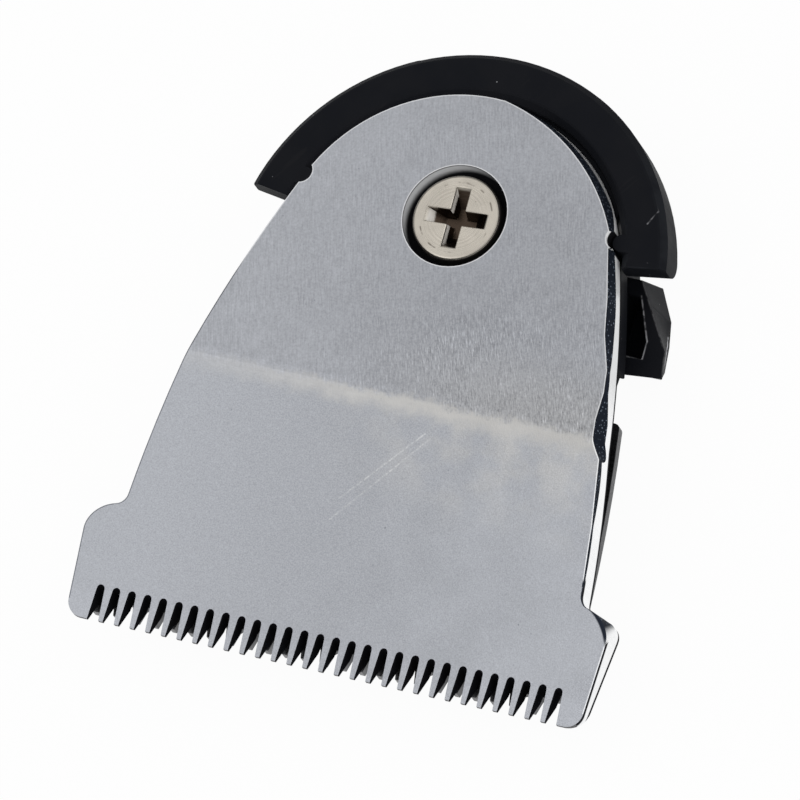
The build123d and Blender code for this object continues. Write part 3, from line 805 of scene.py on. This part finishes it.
@dataclass
class SolidPiece(Piece):
    """A CAD solid whose sharp edges are broken by a narrow flat, or are left as they are if edge is nought."""

    edge: float = 0.05
    edge_angle: float = math.radians(32)
    least_angle: float = math.radians(24)
    least_length: float = 2.4
    smooth_angle: float = 14.0
    weld: float = 1e-4
    flatness: float = math.radians(0.2)

    def merged(self) -> bpy.types.Mesh:
        """Copies the CAD triangles, joins them at their corners and breaks the sharp edges."""
        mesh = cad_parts[self.node].data.copy()
        work = bmesh.new()
        work.from_mesh(mesh)
        bmesh.ops.remove_doubles(work, verts=work.verts, dist=self.weld * MM)
        self.divide(work)
        if self.edge:
            self.break_edges(work)
        work.to_mesh(mesh)
        work.free()
        mesh.materials.clear()
        return mesh

    def divide(self, work: bmesh.types.BMesh) -> None:
        """Clears the lines across flat faces; pieces that need other cuts make them here."""
        bmesh.ops.dissolve_limit(work, angle_limit=self.flatness, verts=work.verts, edges=work.edges)

    def break_edges(self, work: bmesh.types.BMesh) -> None:
        """Puts a narrow flat on the sharp edges, but not where short or nearly parallel edges leave it no room."""
        tight = set()
        for vert in work.verts:
            ways = [edge.other_vert(vert).co - vert.co for edge in vert.link_edges]
            short = any(way.length < self.least_length * self.edge * MM for way in ways)
            close = any(a.angle(b) < self.least_angle for a, b in combinations(ways, 2))
            if short or close:
                tight.add(vert)
        folds = [edge for edge in work.edges if edge.is_manifold and tight.isdisjoint(edge.verts)]
        sharp = [edge for edge in folds if edge.calc_face_angle() > self.edge_angle]
        bmesh.ops.bevel(work, geom=sharp, offset=self.edge * MM, segments=1, profile=0.5, affect="EDGES")

    def build(self) -> bpy.types.Object:
        """Makes the piece's own mesh, with its shading and its zones."""
        piece = self.link(self.merged())
        smooth_below(piece.data, self.smooth_angle)
        self.mark(piece.data)
        return piece

    def mark(self, mesh: bpy.types.Mesh) -> None:
        """Leaves the mesh unmarked; pieces with several looks in one finish write their zones here."""


@dataclass
class CombBlade(SolidPiece):
    """The fixed blade, whose faces are sorted by how the real ones were made."""

    border: float = 0.06
    flat_fall: float = 0.004
    bend_fall: float = 0.04
    bend_half: float = 0.8
    wall_tilt: float = 0.04
    torn_tilt: float = 0.965
    steep_tilt: float = 0.6
    gap_top: float = -16.2
    gap_half: float = 14.7
    tip_end: float = -18.2
    tip_facing: float = -0.5
    ear_inner: float = 13.7
    ear_top: Span = (-13.6, -11.4)
    seat_radius: float = 3.15
    seat_depth: float = 0.5

    def divide(self, work: bmesh.types.BMesh) -> None:
        """Cuts a narrow border off the front face, all round its outline, its gaps and its screw seat."""
        part = work.faces.layers.int.new(BORDER)
        front = [f for f in work.faces if all(self.on_front(v.co / MM) for v in f.verts)]
        for face in front:
            face[part] = int(Front.INNER)
        made = bmesh.ops.inset_region(work, faces=front, thickness=self.border * MM, use_boundary=True)
        for cut in made["faces"]:
            cut[part] = int(Front.RIM)

    def on_front(self, place: Vector) -> bool:
        """Tells whether a point lies on the front face, its bend included."""
        fall = self.bend_fall if abs(place.y - BEND_Y) < self.bend_half else self.flat_fall
        return abs(place.z - FRONT_Z - min(place.y - BEND_Y, 0.0) * SLOPE) < fall

    def mark(self, mesh: bpy.types.Mesh) -> None:
        """Writes each face's zone, told from the tilt of its normal and from its place."""
        normal, centre = mesh_arrays(mesh)
        tilt = normal[:, 2]
        x, y, z = centre.T
        part = np.empty(len(tilt), np.int32)
        mesh.attributes[BORDER].data.foreach_get("value", part)
        leaning = (tilt > self.wall_tilt) & (tilt <= self.torn_tilt)
        steep = np.abs(tilt) < self.steep_tilt
        on_ear = (np.abs(x) > self.ear_inner) & (y > self.ear_top[0]) & (y < self.ear_top[1])
        near_screw = np.hypot(x, y - SCREW_Y) < self.seat_radius
        zone = np.full(len(tilt), int(Zone.FACE), np.float32)
        zone[leaning] = Zone.TORN
        zone[np.abs(tilt) <= self.wall_tilt] = Zone.WALL
        zone[tilt < -self.wall_tilt] = Zone.BACK
        zone[(y < self.gap_top) & (np.abs(x) < self.gap_half) & steep] = Zone.GAP
        zone[(y < self.tip_end) & (normal[:, 1] < self.tip_facing)] = Zone.TIP
        zone[on_ear & leaning] = Zone.ROLL
        zone[near_screw & (steep | (z < FRONT_Z - self.seat_depth))] = Zone.SEAT
        zone[part > 0] = Zone.FACE
        zone[(part == Front.RIM) & (y > self.gap_top)] = Zone.EDGE
        mesh.attributes.new(ZONE, "FLOAT", "FACE").data.foreach_set("value", zone)
        mesh.polygons.foreach_set("use_smooth", part == 0)


@dataclass
class ClampScrew(SolidPiece):
    """The screw, whose cross recess is worn wider than the CAD one."""

    widen: float = 1.19
    top_radius: float = 1.7
    top_z: float = HEAD_TOP - 0.9
    floor_radius: float = 1.0
    floor_z: Span = (HEAD_TOP - 1.25, HEAD_TOP - 1.05)

    def divide(self, work: bmesh.types.BMesh) -> None:
        """Moves the corners of the recess outwards, at the top of the head and at the floor."""
        super().divide(work)
        for vert in work.verts:
            x, y, z = vert.co / MM
            from_axis = math.hypot(x, y - SCREW_Y)
            at_top = z > self.top_z and from_axis < self.top_radius
            at_floor = self.floor_z[0] < z < self.floor_z[1] and from_axis < self.floor_radius
            if at_top or at_floor:
                vert.co.x = x * self.widen * MM
                vert.co.y = (SCREW_Y + (y - SCREW_Y) * self.widen) * MM


@dataclass
class WireSpring(Piece):
    """The hairpin spring: a round wire swept along a half turn and two arms with curled tips."""

    radius: float = 0.35
    bow: float = 4.18
    depth: float = 0.957
    arm_end: float = -5.085
    curl: float = 2.0
    curl_turn: float = math.radians(20)
    arc_points: int = 25
    arm_points: int = 9
    tip_points: int = 7
    around: int = 20
    smooth_angle: float = 40.0

    def path(self) -> tuple[np.ndarray, np.ndarray]:
        """Centre line of the wire.

        One half is an arc round the boss, a straight arm and a curl about a line across it. The other half
        is its mirror image, read backwards.

        Returns:
            Points along the wire and the side direction at each, which stays square to the wire.
        """
        turn = np.linspace(math.pi / 2, 0.0, self.arc_points)
        level = np.full_like(turn, self.depth)
        arc = np.c_[self.bow * np.cos(turn), SCREW_Y + self.bow * np.sin(turn), level]
        side = np.c_[np.cos(turn), np.sin(turn), np.zeros_like(turn)]
        run = np.linspace(SCREW_Y, self.arm_end, self.arm_points + 1)[1:]
        arm = np.c_[np.full_like(run, self.bow), run, np.full_like(run, self.depth)]
        bend = np.linspace(0.0, self.curl_turn, self.tip_points + 1)[1:]
        down = self.depth - self.curl * (1 - np.cos(bend))
        tip = np.c_[np.full_like(bend, self.bow), self.arm_end - self.curl * np.sin(bend), down]
        half = np.vstack([arc, arm, tip])
        out = np.vstack([side, np.tile([1.0, 0.0, 0.0], (len(run) + len(bend), 1))])
        flip = np.array([-1.0, 1.0, 1.0])
        return np.vstack([half[:0:-1] * flip, half]), np.vstack([out[:0:-1] * flip, out])

    def skin(self) -> tuple[np.ndarray, list[list[int]]]:
        """Surface of the wire: a circle carried along the path, closed at both ends by fans of faces.

        Returns:
            Its corners in metres, ring after ring and then the two ends' middles, and its faces.
        """
        line, side = self.path()
        ahead = np.gradient(line, axis=0)
        ahead /= np.linalg.norm(ahead, axis=1, keepdims=True)
        up = np.cross(side, ahead)
        up /= np.linalg.norm(up, axis=1, keepdims=True)
        angle = np.linspace(0.0, 2 * math.pi, self.around, endpoint=False)
        ring = side[:, None] * np.cos(angle)[None, :, None] + up[:, None] * np.sin(angle)[None, :, None]
        corners = np.vstack([(line[:, None] + self.radius * ring).reshape(-1, 3), line[:1], line[-1:]]) * MM
        steps, count = len(line), self.around
        i, j = np.meshgrid(np.arange(steps - 1), np.arange(count), indexing="ij")
        k = (j + 1) % count
        walls = np.stack([i * count + j, (i + 1) * count + j, (i + 1) * count + k, i * count + k], -1).reshape(-1, 4)
        j = np.arange(count)
        k = (j + 1) % count
        last = (steps - 1) * count
        first_fan = np.stack([np.full(count, steps * count), j, k], -1)
        last_fan = np.stack([np.full(count, steps * count + 1), last + k, last + j], -1)
        return corners, walls.tolist() + first_fan.tolist() + last_fan.tolist()

    def build(self) -> bpy.types.Object:
        """Makes the wire's mesh, and a UV map that runs round it in U and along it in V."""
        corners, faces = self.skin()
        mesh = bpy.data.meshes.new(self.name)
        mesh.from_pydata(corners.tolist(), [], faces)
        work = bmesh.new()
        work.from_mesh(mesh)
        bmesh.ops.recalc_face_normals(work, faces=work.faces)
        work.to_mesh(mesh)
        work.free()
        corner = np.empty(len(mesh.loops), np.int32)
        mesh.loops.foreach_get("vertex_index", corner)
        last_ring = len(corners) // self.around - 1
        along = np.minimum(corner // self.around, last_ring).astype(np.float32)
        round_it = np.abs((corner % self.around) / self.around - 0.5).astype(np.float32)
        mesh.uv_layers.new(name="wire").data.foreach_set("uv", np.c_[round_it, along].ravel())
        smooth_below(mesh, self.smooth_angle)
        return self.link(mesh)


# ---- studio


@dataclass(frozen=True)
class Lamp:
    """A soft box that faces the part, with lengths in metres and a radiance of 1 for white."""

    name: str
    place: Point
    size: tuple[float, float]
    radiance: float

    def build(self) -> None:
        """Adds the lamp to the scene."""
        data = bpy.data.lights.new(self.name, "AREA")
        data.shape = "RECTANGLE"
        data.size, data.size_y = self.size
        data.energy = self.radiance * math.pi * self.size[0] * self.size[1]
        made = bpy.data.objects.new(self.name, data)
        made.location = self.place
        made.rotation_mode = "QUATERNION"
        made.rotation_quaternion = (-Vector(self.place)).to_track_quat("-Z", "Y")
        bpy.context.scene.collection.objects.link(made)


@dataclass
class Studio:
    """Pale floor, plain world, soft lamps and the camera of the photograph."""

    eye: Point = (298.5, -227.485, 733.1)
    right: Point = (0.9093, 0.3101, -0.2774)
    up: Point = (-0.1995, 0.9100, 0.3634)
    lens: float = 658.9
    sensor: float = 36.0
    clip: Span = (0.01, 20.0)
    horizon: float = 0.62
    zenith: float = 0.78
    zenith_rise: float = 0.9
    floor_half: float = 3.0
    floor_z: float = -0.00003
    floor_base: Colour = (0.85, 0.85, 0.85)
    floor_white: float = 0.96
    lamps: tuple[Lamp, ...] = (
        Lamp("overhead", (-0.24, -0.10, 0.60), (0.5, 0.42), 0.85),
        Lamp("right_strip", (0.42, 0.22, 0.22), (0.12, 0.4), 1.1),
    )

    def camera(self) -> None:
        """Places the camera with its own right and up directions."""
        data = bpy.data.cameras.new("camera")
        data.lens, data.sensor_width = self.lens, self.sensor
        data.clip_start, data.clip_end = self.clip
        right, up = Vector(self.right).normalized(), Vector(self.up).normalized()
        back = right.cross(up).normalized()
        up = back.cross(right)
        turn = Matrix((right, up, back)).transposed().to_4x4()
        made = bpy.data.objects.new("camera", data)
        made.matrix_world = Matrix.Translation(Vector(self.eye) * MM) @ turn
        bpy.context.scene.collection.objects.link(made)
        bpy.context.scene.camera = made

    def world(self) -> None:
        """A pale world that grows from the horizon to the zenith, the same for every ray."""
        made = bpy.data.worlds.new("studio")
        made.use_nodes = True
        s = Sheet(made.node_tree)
        rise = s.axes(s.node("ShaderNodeTexCoord").outputs["Generated"])[2]
        level = s.step(rise, 0.0, self.zenith_rise, self.horizon, self.zenith)
        s.feed(made.node_tree.nodes["Background"].inputs["Color"], s.grey(level))
        bpy.context.scene.world = made

    def table_white(self) -> bpy.types.Material:
        """White that is pure to the eye and in reflections but for a trace of shadow, and clear from below."""
        made = bpy.data.materials.new("white_table")
        made.use_nodes = True
        s = Sheet(made.node_tree)
        shader = made.node_tree.nodes["Principled BSDF"]
        s.feed(shader.inputs["Base Color"], self.floor_base)
        shader.inputs["Roughness"].default_value = 0.9
        shader.inputs["Specular IOR Level"].default_value = 0.1
        path = s.node("ShaderNodeLightPath").outputs
        seen = s.most(path["Is Camera Ray"], path["Is Glossy Ray"], path["Is Transmission Ray"])
        white = s.node("ShaderNodeEmission", {"Strength": 1.0}).outputs[0]
        share = s.times(seen, self.floor_white)
        top = s.node("ShaderNodeMixShader", {0: share, 1: shader.outputs[0], 2: white}).outputs[0]
        below = s.node("ShaderNodeNewGeometry").outputs["Backfacing"]
        clear = s.node("ShaderNodeBsdfTransparent").outputs[0]
        both = s.node("ShaderNodeMixShader", {0: below, 1: top, 2: clear}).outputs[0]
        s.feed(made.node_tree.nodes["Material Output"].inputs["Surface"], both)
        return made

    def floor(self) -> None:
        """A white table top that the part lies on."""
        corners = np.array([(-1, -1), (1, -1), (1, 1), (-1, 1)]) * self.floor_half
        mesh = bpy.data.meshes.new("floor")
        mesh.from_pydata(np.c_[corners, np.full(4, self.floor_z)].tolist(), [], [(0, 1, 2, 3)])
        mesh.materials.append(self.table_white())
        table = bpy.data.objects.new("floor", mesh)
        bpy.context.scene.collection.objects.link(table)

    def build(self) -> None:
        """Sets up everything that is not part of the object."""
        bpy.context.scene.view_settings.view_transform = "Standard"
        self.camera()
        for lamp in self.lamps:
            lamp.build()
        self.world()
        self.floor()


# Marks of the holder: two scratches on the rim, and painted highlights along the edges of the right-hand lug.
HOLDER_MARKS = (
    Mark((10.86, 10.44, 6.44), (11.24, 11.33, 6.36), 0.07, 0.3),
    Mark((11.24, 11.33, 6.36), (10.9, 11.9, 6.37), 0.06, 0.16),
    Mark((10.57, 7.28, 3.1), (11.75, 4.76, 3.1), 0.1, 0.42),
    Mark((11.75, 4.76, 3.1), (11.8, 3.72, 3.1), 0.1, 0.42),
    Mark((10.9, 3.66, 3.1), (11.75, 3.68, 3.1), 0.07, 0.14),
    Mark((10.32, 8.2, 3.1), (12.97, 4.38, 3.1), 0.08, 0.1),
    Mark((12.97, 4.38, 3.1), (13.32, 2.8, 3.1), 0.08, 0.1),
    Mark((11.85, 6.05, 0.38), (12.31, 4.4, 0.71), 0.16, 0.8),
)


def main() -> None:
    """Builds the studio and each piece in order."""
    logging.basicConfig(level=logging.INFO, format="%(name)s %(message)s")
    effects = Effects()
    Studio().build()
    carrier, cutter = Body.CARRIER, Body.CUTTER
    black = MouldedPlastic("black_holder_plastic", "holder_plastic", marks=HOLDER_MARKS)
    ivory = MouldedPlastic(
        "ivory_bridge_plastic", "bridge_plastic",
        base=(0.62, 0.60, 0.54), worn=(0.5, 0.47, 0.4), rubbed=(0.66, 0.64, 0.58), dust=(0.3, 0.28, 0.25),
        dust_share=0.05, gloss=0.36, specular=0.5,
    )
    comb = CombSteel("ground_comb_steel", "comb_steel")
    strip = CutterSteel("cutter_strip_steel", "cutter_steel")
    nickel = ScrewNickel("screw_nickel_plate", "screw_nickel")
    wire = SpringWire("spring_wire", "spring_steel")
    pieces = [
        CombBlade("fixed_blade", "comb_blade", carrier, comb, edge=0.0),
        SolidPiece("moving_blade", "cutter_blade", cutter, strip, edge=0.02),
        SolidPiece("drive_bridge", "bridge", cutter, ivory, edge=0.08),
        SolidPiece("holder", "blade_holder", carrier, black, edge=0.07),
        ClampScrew("screw", "clamp_screw", carrier, nickel, edge=0.04),
        WireSpring("blade_spring", "hairpin_spring", carrier, wire),
    ]
    for piece in pieces:
        piece.dress(piece.build(), effects)


if __name__ == "__main__":
    main()
